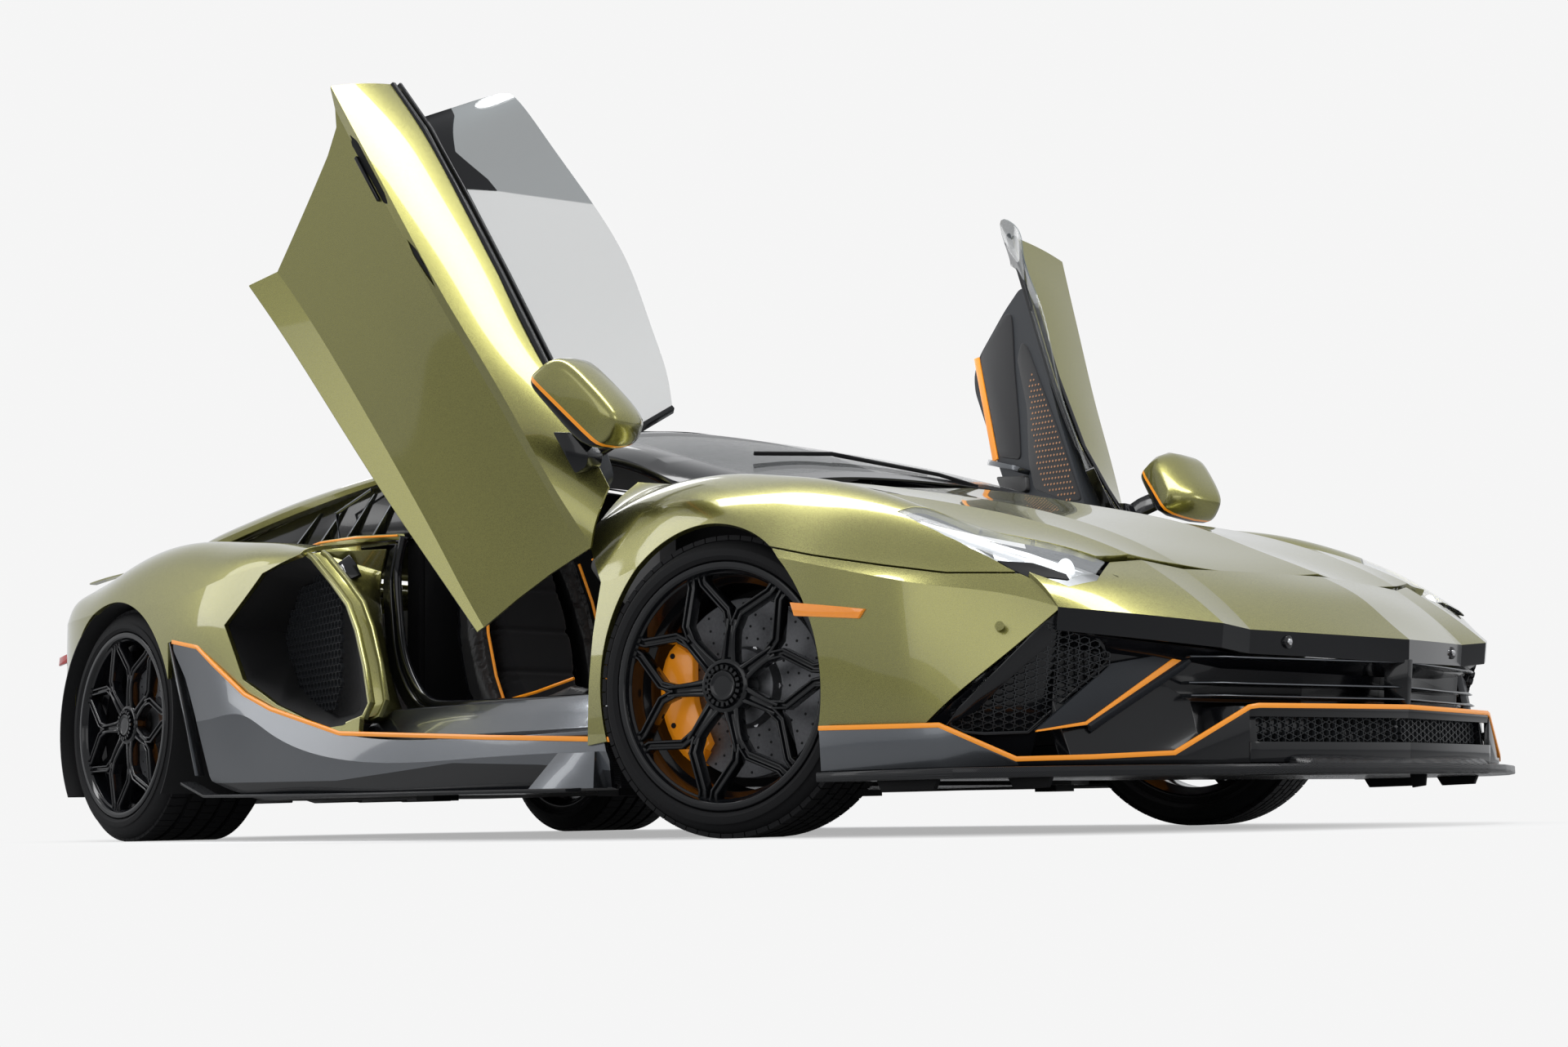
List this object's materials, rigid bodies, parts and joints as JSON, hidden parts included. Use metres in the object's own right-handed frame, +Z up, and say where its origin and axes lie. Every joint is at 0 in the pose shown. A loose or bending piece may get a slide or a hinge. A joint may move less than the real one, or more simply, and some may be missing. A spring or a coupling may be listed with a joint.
{
  "type": "mid-engined supercar with swing-up doors",
  "caption": "Low wedge-shaped two-seat sports car: forged wheels, swing-up doors, front lid over luggage tub, engine cover, side intakes, splitter and diffuser.",
  "frame": {"origin": "on the ground under the middle of the car's length and width", "axes": "+X forward, +Y to the car's left, +Z up"},
  "size_m": [4.868, 2.8562, 1.8954],
  "materials": {
    "paint": "metallic olive green, gloss clear coat",
    "gloss_black": "gloss black",
    "matte_black": "matt black",
    "satin_grey": "satin dark grey",
    "carbon": "woven carbon under lacquer",
    "orange": "gloss orange",
    "tyre": "matt rubber",
    "disc": "carbon ceramic, drilled",
    "aluminium": "cast",
    "steel": "brushed",
    "glass": "tinted",
    "lamp_red": "clear red",
    "alcantara": "suede cloth",
    "leather": "smooth leather"
  },
  "bodies": {
    "wheel_front_right": {"tyre_front_right": "tyre", "rim_front_right": "gloss_black", "brake_disc_front_right": "disc"},
    "wheel_rear_right": {"tyre_rear_right": "tyre", "rim_rear_right": "gloss_black", "brake_disc_rear_right": "disc"},
    "knuckle_right": {"knuckle_right": "aluminium", "caliper_front_right": "orange"},
    "door_right": {"door_right": "paint", "door_glass_right": "glass", "mirror_right": "paint"},
    "wheel_front_left": {"tyre_front_left": "tyre", "rim_front_left": "gloss_black", "brake_disc_front_left": "disc"},
    "wheel_rear_left": {"tyre_rear_left": "tyre", "rim_rear_left": "gloss_black", "brake_disc_rear_left": "disc"},
    "knuckle_left": {"knuckle_left": "aluminium", "caliper_front_left": "orange"},
    "door_left": {"door_left": "paint", "door_glass_left": "glass", "mirror_left": "paint"},
    "hood": {"hood": "paint"},
    "engine_cover": {"engine_cover": "gloss_black"},
    "rear_wing": {"rear_wing": "paint"},
    "root": {"front_fenders": "paint", "headlights": "glass", "front_bumper": "paint", "front_grille": "matte_black", "splitter": "carbon", "roof": "gloss_black", "windscreen": "glass", "rear_quarters": "paint", "quarter_windows": "glass", "side_skirts": "satin_grey", "side_intakes": "matte_black", "rear_bumper": "paint", "tail_lights": "lamp_red", "exhaust": "steel", "diffuser": "carbon", "tub": "carbon", "bulkheads": "carbon", "subframes": "aluminium", "jack_pads": "matte_black", "luggage_tub": "matte_black", "engine_block": "aluminium", "underbody": "matte_black", "seats": "alcantara", "dashboard": "alcantara", "steering_wheel": "leather", "suspension_arms": "aluminium", "calipers_rear": "orange"}
  },
  "joints": [
    {"name": "door_right", "type": "hinge", "parent": "root", "child": "door_right", "pos_m": [1.017, -0.899, 0.681], "axis": [-0.019, 0.9373, 0.3481], "range_deg": [-58, 0]},
    {"name": "door_left", "type": "hinge", "parent": "root", "child": "door_left", "pos_m": [1.017, 0.899, 0.681], "axis": [0.019, 0.9373, -0.3481], "range_deg": [-58, 0]},
    {"name": "steer_right", "type": "hinge", "parent": "root", "child": "knuckle_right", "pos_m": [1.277, -0.79, 0.3305], "axis": [0, 0, 1], "range_deg": [-45.5, 14.5]},
    {"name": "spin_front_right", "type": "hinge", "parent": "knuckle_right", "child": "wheel_front_right", "pos_m": [1.29571, -0.85745, 0.3305], "axis": [-0.2672, 0.9636, 0], "continuous": true},
    {"name": "spin_rear_right", "type": "hinge", "parent": "root", "child": "wheel_rear_right", "pos_m": [-1.423, -0.84, 0.3555], "axis": [0, 1, 0], "continuous": true},
    {"name": "steer_left", "type": "hinge", "parent": "root", "child": "knuckle_left", "pos_m": [1.277, 0.79, 0.3305], "axis": [0, 0, 1], "range_deg": [-45.5, 14.5]},
    {"name": "spin_front_left", "type": "hinge", "parent": "knuckle_left", "child": "wheel_front_left", "pos_m": [1.25829, 0.85745, 0.3305], "axis": [-0.2672, 0.9636, 0], "continuous": true},
    {"name": "spin_rear_left", "type": "hinge", "parent": "root", "child": "wheel_rear_left", "pos_m": [-1.423, 0.84, 0.3555], "axis": [0, 1, 0], "continuous": true},
    {"name": "hood", "type": "hinge", "parent": "root", "child": "hood", "pos_m": [1.199, 0, 0.875], "axis": [0, -1, 0], "range_deg": [0, 45]},
    {"name": "engine_cover", "type": "hinge", "parent": "root", "child": "engine_cover", "pos_m": [-0.229, 0, 1.122], "axis": [0, 1, 0], "range_deg": [0, 45]},
    {"name": "rear_wing", "type": "hinge", "parent": "root", "child": "rear_wing", "pos_m": [-1.893, 0, 0.903], "axis": [0, 1, 0], "range_deg": [0, 11]}
  ],
  "couplings": [
    {"joint": "steer_left", "follows": "steer_right", "ratio": 1}
  ]
}
